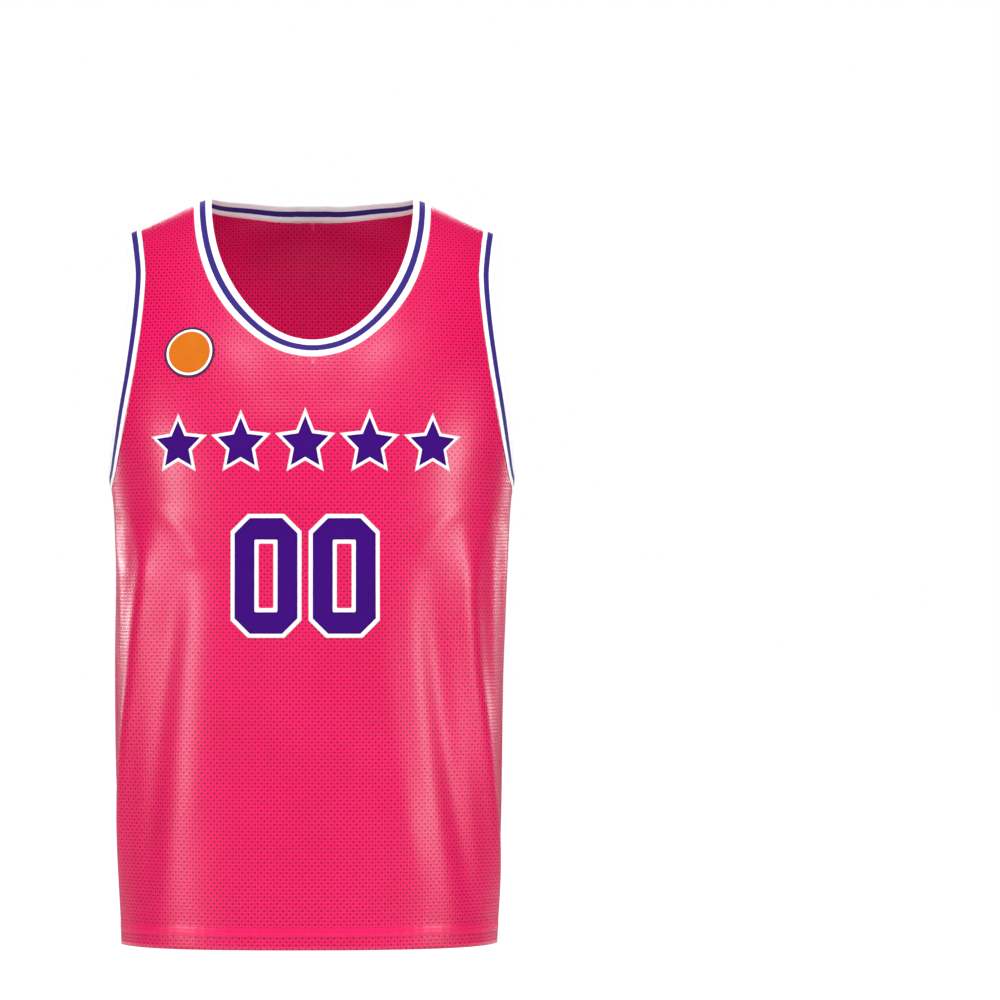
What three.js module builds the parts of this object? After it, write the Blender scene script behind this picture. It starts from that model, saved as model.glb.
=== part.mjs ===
// A sleeveless basketball jersey, filled out as if worn, with nobody in it.
// Millimetres, +Z up. The front faces -Y and the wearer's left side is at +X.
// The origin lies between the shoulders, at the height of the middle of the shoulder seams.
//
// A place on the cloth is given by "across", the distance round the body from the middle of the
// front or the back, and "root", the square root of the drop below the shoulders. The root is
// negative on the front and positive on the back, so the cloth runs smoothly over the shoulder.

import * as THREE from 'three';

// Driving sizes
const HEM_DROP = 723;
const UNDERARM_DROP = 275.5; // side seam up to the armhole band
const BAND_WIDTH = 17.5; // knitted band round the neck and each armhole
const NECK_SEAM = { halfWidth: 118, frontDrop: 160, backDrop: 45.5, backPower: 2.1 };
const NECK_EDGE = { halfWidth: 100.5, frontDrop: 147, backDrop: 31, backPower: 2.1 };
const PANEL_WALL = 1.5;
const BAND_WALL = 2;
const TWILL_WALL = 0.8;
const SEAM_GAP = 0.3;
const RIDGE_GAP = 0.025; // half the gap along the shoulder seam, as a root
const BAND_LIFT = 0.25; // the bands are thicker than the panels on both sides
const FIRST_LIFT = 1.3; // outer side of a piece sewn on a panel
const SECOND_LIFT = 2.4; // outer side of a piece sewn on such a piece
const LEVEL_SQUARENESS = 2.5; // power of the outline of a level, where 2 is an ellipse
const LEVELLING_DROP = 260; // below this drop every level is horizontal

// Half widths and reach of the filled-out form, by drop below the shoulders
const LEVELS = [
  { drop: 0, right: 209, left: 209, front: 0, back: 0 },
  { drop: 4, right: 209, left: 209, front: 14, back: 19 },
  { drop: 15, right: 209, left: 209, front: 30, back: 42 },
  { drop: 35, right: 209, left: 209, front: 50, back: 67 },
  { drop: 60, right: 209, left: 209, front: 66, back: 85 },
  { drop: 100, right: 209, left: 209, front: 87, back: 98 },
  { drop: 150, right: 209, left: 209, front: 107, back: 106 },
  { drop: 200, right: 208.5, left: 208, front: 118, back: 109 },
  { drop: 240, right: 204.5, left: 204, front: 122, back: 109 },
  { drop: 290, right: 198, left: 198, front: 122, back: 106 },
  { drop: 350, right: 196, left: 195.5, front: 120, back: 102 },
  { drop: 450, right: 196, left: 191, front: 117, back: 98 },
  { drop: 550, right: 194.5, left: 189, front: 116, back: 99 },
  { drop: 650, right: 190.5, left: 186.5, front: 118, back: 103 },
  { drop: 723, right: 187.5, left: 182, front: 119, back: 105 },
];

// Height of the shoulder line above the origin, by distance from the middle
const SHOULDER_LINE = [
  { reach: 0, height: 50 },
  { reach: 12, height: 49.7 },
  { reach: 60, height: 38 },
  { reach: 100, height: 19 },
  { reach: 118, height: 12.5 },
  { reach: 144, height: 0 },
  { reach: 171, height: -12.5 },
  { reach: 190, height: -20 },
  { reach: 212, height: -27 },
];

// How far round the level, in degrees, the armhole seam lies on the front and the back
const ARMHOLE_SEAM = [
  { drop: 275.5, front: 90, back: 90 },
  { drop: 270, front: 82, back: 82 },
  { drop: 260, front: 74, back: 74 },
  { drop: 240, front: 67, back: 66.5 },
  { drop: 210, front: 60.5, back: 58 },
  { drop: 170, front: 55.5, back: 51.5 },
  { drop: 130, front: 52, back: 47.3 },
  { drop: 90, front: 49.5, back: 45 },
  { drop: 50, front: 48.3, back: 45.2 },
  { drop: 20, front: 49.6, back: 47.6 },
  { drop: 0, front: 51.1, back: 51.1 },
];

// Largest folds. The turn is in degrees round the body: 0 is the middle of the front, 90 the
// wearer's left side seam and 180 the middle of the back. The bend moves a fold's half-way point
// round the body, and a negative height is a trough.
const FOLDS = [
  { turn: -32, drop: 360, endTurn: -44, endDrop: 620, bend: 1, width: 22, height: 1.2 },
  { turn: -46, drop: 340, endTurn: -63, endDrop: 700, bend: 0, width: 17, height: -3.4 },
  { turn: -58, drop: 325, endTurn: -80, endDrop: 712, bend: -1, width: 15, height: 4.4 },
  { turn: -68, drop: 470, endTurn: -84, endDrop: 712, bend: 0, width: 13, height: 2.2 },
  { turn: -80, drop: 360, endTurn: -96, endDrop: 640, bend: 2, width: 13, height: -3 },
  { turn: -12, drop: 430, endTurn: -20, endDrop: 723, bend: 0, width: 30, height: -1.5 },
  { turn: 21, drop: 370, endTurn: 36, endDrop: 660, bend: -2, width: 20, height: 2.2 },
  { turn: 41, drop: 350, endTurn: 62, endDrop: 706, bend: -3, width: 17, height: -4 },
  { turn: 54, drop: 325, endTurn: 82, endDrop: 712, bend: -4, width: 14, height: 4.4 },
  { turn: 64, drop: 470, endTurn: 84, endDrop: 712, bend: -1, width: 13, height: 2.2 },
  { turn: 72, drop: 312, endTurn: 94, endDrop: 640, bend: -2, width: 13, height: -3 },
  { turn: 8, drop: 450, endTurn: 12, endDrop: 723, bend: 0, width: 26, height: 1.5 },
  { turn: 102, drop: 330, endTurn: 98, endDrop: 723, bend: 2, width: 18, height: 4.5 },
  { turn: 116, drop: 320, endTurn: 108, endDrop: 640, bend: 0, width: 16, height: -4 },
  { turn: 143, drop: 420, endTurn: 120, endDrop: 708, bend: 5, width: 18, height: 5.5 },
  { turn: 151, drop: 435, endTurn: 141, endDrop: 660, bend: 2, width: 15, height: -3.5 },
  { turn: 172, drop: 440, endTurn: 169, endDrop: 723, bend: 0, width: 27, height: 2.5 },
  { turn: 120, drop: 290, endTurn: 130, endDrop: 395, bend: -3, width: 14, height: -2.5 },
  { turn: -103, drop: 320, endTurn: -99, endDrop: 723, bend: 0, width: 18, height: 4.5 },
  { turn: -114, drop: 320, endTurn: -109, endDrop: 650, bend: -2, width: 16, height: -3.5 },
  { turn: -142, drop: 425, endTurn: -118, endDrop: 708, bend: -4, width: 19, height: 5.5 },
  { turn: -152, drop: 450, endTurn: -143, endDrop: 680, bend: -1, width: 15, height: -3 },
  { turn: -134, drop: 285, endTurn: -130, endDrop: 420, bend: 1, width: 13, height: -2.5 },
];
const FOLD_FADE = 0.35; // share of a fold's length over which it comes up and dies away
const FOLD_OVERRUN = 0.12; // share by which it starts before and ends after its stated drops
const HEM_FOLD_MARGIN = 15; // a fold that ends this near the hem runs out over it
const HEM_EASE = { drop: 590, share: 0.6 }; // such a fold flattens by this share from here down

// Numerals: two cut-cornered zeros on each face, a violet piece on a larger white one
const NUMERALS = {
  front: {
    middle: -7, drop: 358, spacing: 76.3, width: 69.6, height: 121, corner: 17,
    holeWidth: 14.3, holeHeight: 62.7, splits: 5,
  },
  back: {
    middle: 0, drop: 282, spacing: 108.5, width: 101, height: 178, corner: 26,
    holeWidth: 23.6, holeHeight: 96.5, splits: 7,
  },
};
const WHITE_EDGE = 4.1;
const HOLE_CORNER = 1;

// Stars and patch
const CHEST_STARS = { count: 5, middle: -7, drop: 231, spacing: 63, radius: 31 };
const BACK_STARS = { count: 5, middle: 0, drop: 140, spacing: 52, radius: 21 };
const STAR_WAIST = 0.48; // inner corners over outer points
const STAR_TOP_SHARE = 0.77; // size of the violet star over the white one
const PATCH = { across: -123, drop: 143, radius: 26, sides: 16 };

// Mesh density
const SIDE_COLUMNS = 20;
const NECK_LEVELS = 9;
const ARM_LEVELS = 9;
const BODY_LEVELS = 16;
const CROWDING_SHARE = 0.6; // how far a cut edge pulls the columns, over a level's length
const MOST_CROWDING = 8; // highest power of that pull
const LEVEL_SAMPLES = 48;
const LEVEL_MATCH = 0.01; // two drops this near are the same level

const COLOURS = { pink: '#e62a66', white: '#f4f3f5', violet: '#452f8c', orange: '#e8821e' };
const MESH_ROUGHNESS = 0.7;
const TWILL_ROUGHNESS = 0.85;
const RIGHT_ANGLE = Math.PI / 2;
const ROOT_STEP = 0.35; // spacing of the samples that give a normal, in root and in millimetres
const ACROSS_STEP = 3;

function smoothStep(value) {
  const clamped = Math.min(Math.max(value, 0), 1);
  return clamped * clamped * (3 - 2 * clamped);
}

// Smooth curve through the rows of a table. "place" says where a row lies on the curve's axis.
function readTable(rows, place, column, at) {
  const last = rows.length - 1;
  let k = 0;
  while (k < last - 1 && at > place(rows[k + 1])) k += 1;
  const slope = (a, b) => (rows[b][column] - rows[a][column]) / (place(rows[b]) - place(rows[a]));
  const startSlope = slope(Math.max(k - 1, 0), k + 1);
  const endSlope = slope(k, Math.min(k + 2, last));
  const span = place(rows[k + 1]) - place(rows[k]);
  const t = Math.min(Math.max((at - place(rows[k])) / span, 0), 1);
  const start = rows[k][column];
  const end = rows[k + 1][column];
  return (2 * t ** 3 - 3 * t ** 2 + 1) * start + (t ** 3 - 2 * t ** 2 + t) * span * startSlope
    + (3 * t ** 2 - 2 * t ** 3) * end + (t ** 3 - t ** 2) * span * endSlope;
}

const levelPlace = (row) => Math.sqrt(row.drop);
const levelValue = (column, drop) => readTable(LEVELS, levelPlace, column, Math.sqrt(drop));
const shoulderHeight = (reach) => readTable(SHOULDER_LINE, (row) => row.reach, 'height', reach);

function armholeAngle(face, drop) {
  const place = (row) => Math.sqrt(UNDERARM_DROP - row.drop);
  const degrees = readTable(ARMHOLE_SEAM, place, face, Math.sqrt(UNDERARM_DROP - drop));
  return THREE.MathUtils.degToRad(degrees);
}

const faceOf = (root) => (root < 0 ? 'front' : 'back');
const otherFace = (face) => (face === 'front' ? 'back' : 'front');
const rootOf = (face, drop) => Math.sqrt(drop) * (face === 'front' ? -1 : 1);

// The level at one drop, from the middle of a face to the side seam, as places with their
// distance along the cloth
function levelRun(face, side, drop) {
  const halfWidth = levelValue(side, drop);
  const reach = levelValue(face, drop);
  const levelling = 1 - smoothStep(drop / LEVELLING_DROP);
  const power = 2 / LEVEL_SQUARENESS;
  const run = [];
  for (let k = 0; k <= LEVEL_SAMPLES; k += 1) {
    const angle = (RIGHT_ANGLE * k) / LEVEL_SAMPLES;
    const x = halfWidth * Math.sin(angle) ** power;
    const y = reach * Math.max(Math.cos(angle), 0) ** power;
    const z = levelling === 0 ? -drop : shoulderHeight(x) * levelling - drop;
    const before = run[k - 1];
    const along = before ? before.along + Math.hypot(x - before.x, y - before.y, z - before.z) : 0;
    run.push({ angle, x, y, z, along });
  }
  return { halfWidth, reach, run };
}

function readRun(run, column, value, wanted) {
  let k = 0;
  while (k < run.length - 2 && value > run[k + 1][column]) k += 1;
  const t = (value - run[k][column]) / (run[k + 1][column] - run[k][column]);
  return THREE.MathUtils.lerp(run[k][wanted], run[k + 1][wanted], t);
}

const lengthOf = ({ run }) => run[run.length - 1].along;

function foldHeight(turn, drop, perDegree) {
  let height = 0;
  for (const fold of FOLDS) {
    const t = (drop - fold.drop) / (fold.endDrop - fold.drop);
    const reachesHem = fold.endDrop > HEM_DROP - HEM_FOLD_MARGIN;
    const easing = HEM_EASE.share * smoothStep((drop - HEM_EASE.drop) / (HEM_DROP - HEM_EASE.drop));
    const fadeOut = reachesHem ? 1 - easing : smoothStep((1 + FOLD_OVERRUN - t) / FOLD_FADE);
    const fade = smoothStep((t + FOLD_OVERRUN) / FOLD_FADE) * fadeOut;
    const middle = THREE.MathUtils.lerp(fold.turn, fold.endTurn, t) + fold.bend * 4 * t * (1 - t);
    const offset = (THREE.MathUtils.euclideanModulo(turn - middle + 180, 360) - 180) * perDegree;
    height += fold.height * fade * Math.exp(-((offset / fold.width) ** 2));
  }
  return height;
}

// A place on the cloth as a point in space
function clothPoint(across, root) {
  const face = faceOf(root);
  const drop = root * root;
  const side = across < 0 ? 'right' : 'left';
  const sign = across < 0 ? -1 : 1;
  const level = levelRun(face, side, drop);
  const quarter = lengthOf(level);
  if (Math.abs(across) > quarter + 1e-6) {
    const beyond = lengthOf(levelRun(otherFace(face), side, drop)) - (Math.abs(across) - quarter);
    return clothPoint(sign * beyond, -root);
  }
  const x = readRun(level.run, 'along', Math.abs(across), 'x');
  const y = readRun(level.run, 'along', Math.abs(across), 'y') * (face === 'front' ? -1 : 1);
  const z = readRun(level.run, 'along', Math.abs(across), 'z');
  const point = new THREE.Vector3(sign * x, y, z);

  const steepness = LEVEL_SQUARENESS - 1;
  const reach = Math.max(level.reach, 1);
  const outward = new THREE.Vector3(
    (sign * (x / level.halfWidth) ** steepness) / level.halfWidth,
    (Math.sign(y) * (Math.abs(y) / reach) ** steepness) / reach,
    0,
  ).normalize();
  const turnFromMiddle = (90 * Math.abs(across)) / quarter;
  const turn = sign * (face === 'front' ? turnFromMiddle : 180 - turnFromMiddle);
  return point.addScaledVector(outward, foldHeight(turn, drop, quarter / 90));
}

// How the cloth runs at a place: sideways, over the body from the front hem to the back hem, and
// its outward normal
function clothFrame(across, root) {
  const sideways = clothPoint(across + ACROSS_STEP, root).sub(clothPoint(across - ACROSS_STEP, root));
  const over = clothPoint(across, root + ROOT_STEP).sub(clothPoint(across, root - ROOT_STEP));
  sideways.divideScalar(2 * ACROSS_STEP);
  over.divideScalar(2 * ROOT_STEP);
  const normal = sideways.clone().cross(over).normalize();
  return { sideways, over, normal };
}

// The place that lies a step away from another one, measured over the cloth
function placeBeside(place, step) {
  const { sideways, over } = clothFrame(place.across, place.root);
  const [a, b, c] = [sideways.dot(sideways), sideways.dot(over), over.dot(over)];
  const [u, v] = [step.dot(sideways), step.dot(over)];
  const spread = a * c - b * b;
  return {
    across: place.across + (c * u - b * v) / spread,
    root: place.root + (a * v - b * u) / spread,
  };
}

// A sheet is a list of places and of triangles between them
const newSheet = () => ({ places: [], triangles: [] });

function addRow(sheet, places) {
  const first = sheet.places.length;
  sheet.places.push(...places);
  return places.map((place, k) => first + k);
}

function joinRows(sheet, row, next) {
  for (let k = 0; k < row.length - 1; k += 1) {
    sheet.triangles.push([row[k], next[k], next[k + 1]], [row[k], next[k + 1], row[k + 1]]);
  }
}

function ringSheet(rows) {
  const sheet = newSheet();
  const indices = rows.map((row) => addRow(sheet, row));
  indices.forEach((row, k) => joinRows(sheet, row, indices[(k + 1) % indices.length]));
  return sheet;
}

// A sheet turned into a closed wall: its outer side lies "lift" outside the cloth's own surface
function wall(sheet, thickness, lift = 0) {
  const inner = sheet.places.length;
  const frames = sheet.places.map((place) => ({
    point: clothPoint(place.across, place.root),
    normal: clothFrame(place.across, place.root).normal,
  }));
  const points = [lift, lift - thickness].flatMap((height) => (
    frames.map(({ point, normal }) => point.clone().addScaledVector(normal, height))
  ));
  const edges = new Set(sheet.triangles.flatMap(([a, b, c]) => [`${a} ${b}`, `${b} ${c}`, `${c} ${a}`]));
  const innerSide = sheet.triangles.map(([a, b, c]) => [c + inner, b + inner, a + inner]);
  const triangles = [...sheet.triangles, ...innerSide];
  for (const edge of edges) {
    const [a, b] = edge.split(' ').map(Number);
    if (!edges.has(`${b} ${a}`)) triangles.push([b, a, a + inner], [b, a + inner, b + inner]);
  }
  const spanOf = ([a, b, c]) => points[a].dot(points[b].clone().cross(points[c]));
  const volume = triangles.reduce((sum, triangle) => sum + spanOf(triangle), 0);
  if (volume < 0) triangles.forEach((triangle) => triangle.reverse());
  const geometry = new THREE.BufferGeometry().setFromPoints(points);
  geometry.setIndex(triangles.flat());
  geometry.computeVertexNormals();
  return geometry;
}

const sideOf = (sign) => (sign < 0 ? 'right' : 'left');

// Distance from the middle of a level to where its column, "x" or "angle", has a value
const acrossAt = (face, side, drop, column, value) => (
  readRun(levelRun(face, side, drop).run, column, value, 'along')
);

// Neckline of one face: a step of 0 is at the shoulder and NECK_LEVELS is in the middle
const NECK_STEPS = [0, 0.3, ...Array.from({ length: NECK_LEVELS }, (_, k) => k + 1)];

function neckPoint(face, line, step) {
  const angle = (RIGHT_ANGLE * step) / NECK_LEVELS;
  const power = face === 'front' ? 1 : line.backPower;
  const reach = step === NECK_LEVELS ? 0 : line.halfWidth * Math.cos(angle);
  return { reach, drop: line[`${face}Drop`] * Math.sin(angle) ** power };
}

function neckPlace(face, sign, line, step) {
  const { reach, drop } = neckPoint(face, line, step);
  return { across: sign * acrossAt(face, sideOf(sign), drop, 'x', reach), root: rootOf(face, drop) };
}

// Drops of a panel's levels: the neckline's own, then down to the underarm, then down to the hem
function panelLevels(face) {
  const neckBottom = NECK_SEAM[`${face}Drop`];
  const armLevels = face === 'front' ? ARM_LEVELS : ARM_LEVELS + 3;
  const levels = NECK_STEPS.map((step) => ({ step, drop: neckPoint(face, NECK_SEAM, step).drop }));
  for (let k = 1; k <= armLevels; k += 1) {
    const share = Math.sin((RIGHT_ANGLE * k) / armLevels);
    levels.push({ drop: THREE.MathUtils.lerp(neckBottom, UNDERARM_DROP, share) });
  }
  for (let k = 1; k <= BODY_LEVELS; k += 1) {
    levels.push({ drop: THREE.MathUtils.lerp(UNDERARM_DROP, HEM_DROP, k / BODY_LEVELS) });
  }
  return levels;
}

const isBelowArmhole = (drop) => drop > UNDERARM_DROP - LEVEL_MATCH;

function armholePlace(face, sign, drop) {
  const side = sideOf(sign);
  const across = isBelowArmhole(drop)
    ? lengthOf(levelRun(face, side, drop))
    : acrossAt(face, side, drop, 'angle', armholeAngle(face, drop));
  return { across: sign * across, root: rootOf(face, drop) };
}

// How steeply the columns crowd towards an edge that is cut in by "cut" from a level's full length
function crowding(full, cut) {
  return THREE.MathUtils.clamp((CROWDING_SHARE * full) / Math.max(cut, 1), 1, MOST_CROWDING);
}

// Half of one level, from the neckline or the middle out to the armhole or the side seam. Columns
// far from a cut edge stay where they are on the levels below it.
function halfLevel(face, sign, { step, drop }) {
  const full = lengthOf(levelRun(face, sideOf(sign), drop));
  const inner = step === undefined ? 0 : Math.abs(neckPlace(face, sign, NECK_SEAM, step).across);
  const seam = isBelowArmhole(drop) ? SEAM_GAP / 2 : 0;
  const cut = full - Math.abs(armholePlace(face, sign, drop).across) + seam;
  const ridge = face === 'front' ? -1 : 1;
  const root = drop === 0 ? ridge * RIDGE_GAP : rootOf(face, drop);
  return Array.from({ length: SIDE_COLUMNS + 1 }, (_, k) => {
    const share = k / SIDE_COLUMNS;
    const outerPull = cut * share ** crowding(full, cut);
    const innerPull = inner * (1 - share) ** crowding(full, inner);
    return { across: sign * (full * share - outerPull + innerPull), root };
  });
}

function panelSheet(face) {
  const sheet = newSheet();
  let above = null;
  for (const level of panelLevels(face)) {
    const split = level.step !== undefined && level.step < NECK_LEVELS;
    const left = addRow(sheet, halfLevel(face, 1, level));
    const rightPlaces = halfLevel(face, -1, level);
    const right = split
      ? addRow(sheet, rightPlaces)
      : [left[0], ...addRow(sheet, rightPlaces.slice(1))];
    if (above) {
      joinRows(sheet, above.left, left);
      joinRows(sheet, right, above.right);
    }
    above = { left, right };
  }
  return sheet;
}

function betweenPlaces(start, end, t) {
  return {
    across: THREE.MathUtils.lerp(start.across, end.across, t),
    root: THREE.MathUtils.lerp(start.root, end.root, t),
  };
}

const bandRow = (seam, edge) => [SEAM_GAP / BAND_WIDTH, 1].map((t) => betweenPlaces(seam, edge, t));

function neckBandSheet() {
  const rows = [];
  const addStep = (face, sign, step) => {
    rows.push(bandRow(neckPlace(face, sign, NECK_SEAM, step), neckPlace(face, sign, NECK_EDGE, step)));
  };
  const downSteps = NECK_STEPS.slice(0, -1);
  const upSteps = [...NECK_STEPS].reverse();
  downSteps.forEach((step) => addStep('front', -1, step));
  upSteps.forEach((step) => addStep('front', 1, step));
  downSteps.slice(1).forEach((step) => addStep('back', 1, step));
  upSteps.slice(0, -1).forEach((step) => addStep('back', -1, step));
  return ringSheet(rows);
}

// The seam places run from the underarm up the front, over the shoulder and down the back
function armholeBandSheet(sign) {
  const dropsOf = (face) => (
    panelLevels(face).map(({ drop }) => drop).filter((drop) => drop < UNDERARM_DROP + LEVEL_MATCH)
  );
  const frontPlaces = dropsOf('front').map((drop) => armholePlace('front', sign, drop)).reverse();
  const backPlaces = dropsOf('back').map((drop) => armholePlace('back', sign, drop)).slice(1, -1);
  const seam = [...frontPlaces, ...backPlaces];
  const points = seam.map((place) => clothPoint(place.across, place.root));
  const rows = seam.map((place, k) => {
    const before = points[(k + points.length - 1) % points.length];
    const after = points[(k + 1) % points.length];
    const { normal } = clothFrame(place.across, place.root);
    const step = after.clone().sub(before).cross(normal).setLength(BAND_WIDTH * sign);
    return bandRow(place, placeBeside(place, step));
  });
  return ringSheet(rows);
}

// Flat shapes in millimetres, x to the right and z up, laid on the cloth round a middle place
const placeOn = (face, middle, [x, z]) => (
  { across: middle.across + x, root: rootOf(face, middle.drop - z) }
);

// Outline of a zero: an upright rectangle with cut corners, its sides split into short stretches
function zeroOutline(width, height, corner, splits) {
  const [x, z] = [width / 2, height / 2];
  const corners = [
    [x, -z + corner], [x, z - corner], [x - corner, z], [-x + corner, z],
    [-x, z - corner], [-x, -z + corner], [-x + corner, -z], [x - corner, -z],
  ];
  return corners.flatMap(([x0, z0], k) => {
    const [x1, z1] = corners[(k + 1) % corners.length];
    const count = splits[k % splits.length];
    return Array.from({ length: count }, (_, j) => (
      [THREE.MathUtils.lerp(x0, x1, j / count), THREE.MathUtils.lerp(z0, z1, j / count)]
    ));
  });
}

function zeroSheet(face, middle, size, inset) {
  const splits = [size.splits, 2, 2, 2];
  const edge = 2 * inset;
  const outer = zeroOutline(size.width - edge, size.height - edge, size.corner - inset / 2, splits);
  const hole = zeroOutline(size.holeWidth + edge, size.holeHeight + edge, HOLE_CORNER, splits);
  const rows = outer.map(([x, z], k) => [0, 0.5, 1].map((t) => placeOn(face, middle, [
    THREE.MathUtils.lerp(hole[k][0], x, t), THREE.MathUtils.lerp(hole[k][1], z, t),
  ])));
  return ringSheet(rows);
}

// A filled outline: a fan round its middle, then a ring out to the outline
function filledSheet(face, middle, outline, lay = placeOn) {
  const sheet = newSheet();
  const [centre] = addRow(sheet, [lay(face, middle, [0, 0])]);
  const ring = (t) => outline.map(([x, z]) => lay(face, middle, [x * t, z * t]));
  const rows = [0.5, 1].map((t) => addRow(sheet, ring(t)));
  rows.forEach((row) => row.push(row[0]));
  for (let k = 0; k < outline.length; k += 1) {
    sheet.triangles.push([centre, rows[0][k], rows[0][k + 1]]);
  }
  joinRows(sheet, rows[0], rows[1]);
  return sheet;
}

function starOutline(radius) {
  return Array.from({ length: 10 }, (_, k) => {
    const angle = RIGHT_ANGLE + (Math.PI * k) / 5;
    const reach = k % 2 ? radius * STAR_WAIST : radius;
    return [reach * Math.cos(angle), reach * Math.sin(angle)];
  });
}

function discOutline(radius, sides) {
  return Array.from({ length: sides }, (_, k) => {
    const angle = (2 * Math.PI * k) / sides;
    return [radius * Math.cos(angle), radius * Math.sin(angle)];
  });
}

// The levels slope near the shoulder, so the patch is laid by distances over the cloth
function placeOnSlope(face, middle, [x, z]) {
  const place = { across: middle.across, root: rootOf(face, middle.drop) };
  const { normal } = clothFrame(place.across, place.root);
  const up = new THREE.Vector3(0, 0, 1).addScaledVector(normal, -normal.z).normalize();
  const aside = up.clone().cross(normal);
  return placeBeside(place, aside.multiplyScalar(x).addScaledVector(up, z));
}

const jersey = new THREE.Group();

function addPiece(name, colour, geometry, roughness = TWILL_ROUGHNESS) {
  const material = new THREE.MeshStandardMaterial({ color: colour, roughness, metalness: 0 });
  const piece = new THREE.Mesh(geometry, material);
  piece.name = name;
  jersey.add(piece);
}

function addNumerals(face) {
  const size = NUMERALS[face];
  for (const [name, sign] of [['right', -1], ['left', 1]]) {
    const middle = { across: size.middle + (sign * size.spacing) / 2, drop: size.drop };
    const white = zeroSheet(face, middle, size, 0);
    const violet = zeroSheet(face, middle, size, WHITE_EDGE);
    addPiece(`${face}_numeral_${name}_white`, COLOURS.white, wall(white, TWILL_WALL, FIRST_LIFT));
    addPiece(`${face}_numeral_${name}_violet`, COLOURS.violet, wall(violet, TWILL_WALL, SECOND_LIFT));
  }
}

function addStars(face, stars, hasViolet) {
  for (let k = 0; k < stars.count; k += 1) {
    const middle = { across: stars.middle + (k - (stars.count - 1) / 2) * stars.spacing, drop: stars.drop };
    const white = filledSheet(face, middle, starOutline(stars.radius));
    addPiece(`${face}_star_${k + 1}_white`, COLOURS.white, wall(white, TWILL_WALL, FIRST_LIFT));
    if (hasViolet) {
      const violet = filledSheet(face, middle, starOutline(stars.radius * STAR_TOP_SHARE));
      addPiece(`${face}_star_${k + 1}_violet`, COLOURS.violet, wall(violet, TWILL_WALL, SECOND_LIFT));
    }
  }
}

function addPatch() {
  const disc = filledSheet('front', PATCH, discOutline(PATCH.radius, PATCH.sides), placeOnSlope);
  addPiece('chest_patch', COLOURS.orange, wall(disc, TWILL_WALL, FIRST_LIFT));
}

addPiece('front_panel', COLOURS.pink, wall(panelSheet('front'), PANEL_WALL), MESH_ROUGHNESS);
addPiece('back_panel', COLOURS.pink, wall(panelSheet('back'), PANEL_WALL), MESH_ROUGHNESS);
addPiece('neck_band', COLOURS.white, wall(neckBandSheet(), BAND_WALL, BAND_LIFT));
addPiece('armhole_band_right', COLOURS.white, wall(armholeBandSheet(-1), BAND_WALL, BAND_LIFT));
addPiece('armhole_band_left', COLOURS.white, wall(armholeBandSheet(1), BAND_WALL, BAND_LIFT));
addNumerals('front');
addNumerals('back');
addStars('front', CHEST_STARS, true);
addStars('back', BACK_STARS, false);
addPatch();

export default jersey;
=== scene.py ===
import math

import bpy
import numpy as np
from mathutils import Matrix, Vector


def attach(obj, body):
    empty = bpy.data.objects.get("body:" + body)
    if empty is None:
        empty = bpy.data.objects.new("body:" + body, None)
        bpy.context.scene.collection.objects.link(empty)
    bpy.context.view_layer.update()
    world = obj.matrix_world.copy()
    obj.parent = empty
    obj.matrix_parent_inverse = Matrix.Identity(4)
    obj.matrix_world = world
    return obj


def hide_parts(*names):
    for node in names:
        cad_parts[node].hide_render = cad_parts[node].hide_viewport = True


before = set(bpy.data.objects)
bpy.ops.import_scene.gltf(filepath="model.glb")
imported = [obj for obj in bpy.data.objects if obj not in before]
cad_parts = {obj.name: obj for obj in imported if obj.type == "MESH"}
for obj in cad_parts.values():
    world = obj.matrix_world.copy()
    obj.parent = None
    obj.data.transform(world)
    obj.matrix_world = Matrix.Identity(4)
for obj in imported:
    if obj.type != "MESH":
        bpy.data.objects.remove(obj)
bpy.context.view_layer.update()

# Sizes of the solids, in millimetres. A place on the cloth is (across, root): the distance round
# the body from the middle of the front or the back, and the square root of the drop below the
# shoulders, negative on the front.
MM = 0.001
HEM_DROP = 723
UNDERARM_DROP = 275.5
BAND_WIDTH = 17.5
NECK_SEAM = {"half_width": 118, "front_drop": 160, "back_drop": 45.5, "back_power": 2.1}
NECK_EDGE = {"half_width": 100.5, "front_drop": 147, "back_drop": 31, "back_power": 2.1}
LEVEL_SQUARENESS = 2.5
LEVELLING_DROP = 260

# drop, right half width, left half width, front reach, back reach
LEVELS = np.array([
    (0, 209, 209, 0, 0),
    (4, 209, 209, 14, 19),
    (15, 209, 209, 30, 42),
    (35, 209, 209, 50, 67),
    (60, 209, 209, 66, 85),
    (100, 209, 209, 87, 98),
    (150, 209, 209, 107, 106),
    (200, 208.5, 208, 118, 109),
    (240, 204.5, 204, 122, 109),
    (290, 198, 198, 122, 106),
    (350, 196, 195.5, 120, 102),
    (450, 196, 191, 117, 98),
    (550, 194.5, 189, 116, 99),
    (650, 190.5, 186.5, 118, 103),
    (723, 187.5, 182, 119, 105),
])
RIGHT, LEFT, FRONT_REACH, BACK_REACH = 1, 2, 3, 4

# distance from the middle, height of the shoulder line
SHOULDER_LINE = np.array([
    (0, 50), (12, 49.7), (60, 38), (100, 19), (118, 12.5), (144, 0), (171, -12.5), (190, -20),
    (212, -27),
])

# drop, angle round the level on the front and on the back
ARMHOLE_SEAM = np.array([
    (275.5, 90, 90),
    (270, 82, 82),
    (260, 74, 74),
    (240, 67, 66.5),
    (210, 60.5, 58),
    (170, 55.5, 51.5),
    (130, 52, 47.3),
    (90, 49.5, 45),
    (50, 48.3, 45.2),
    (20, 49.6, 47.6),
    (0, 51.1, 51.1),
])

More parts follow.
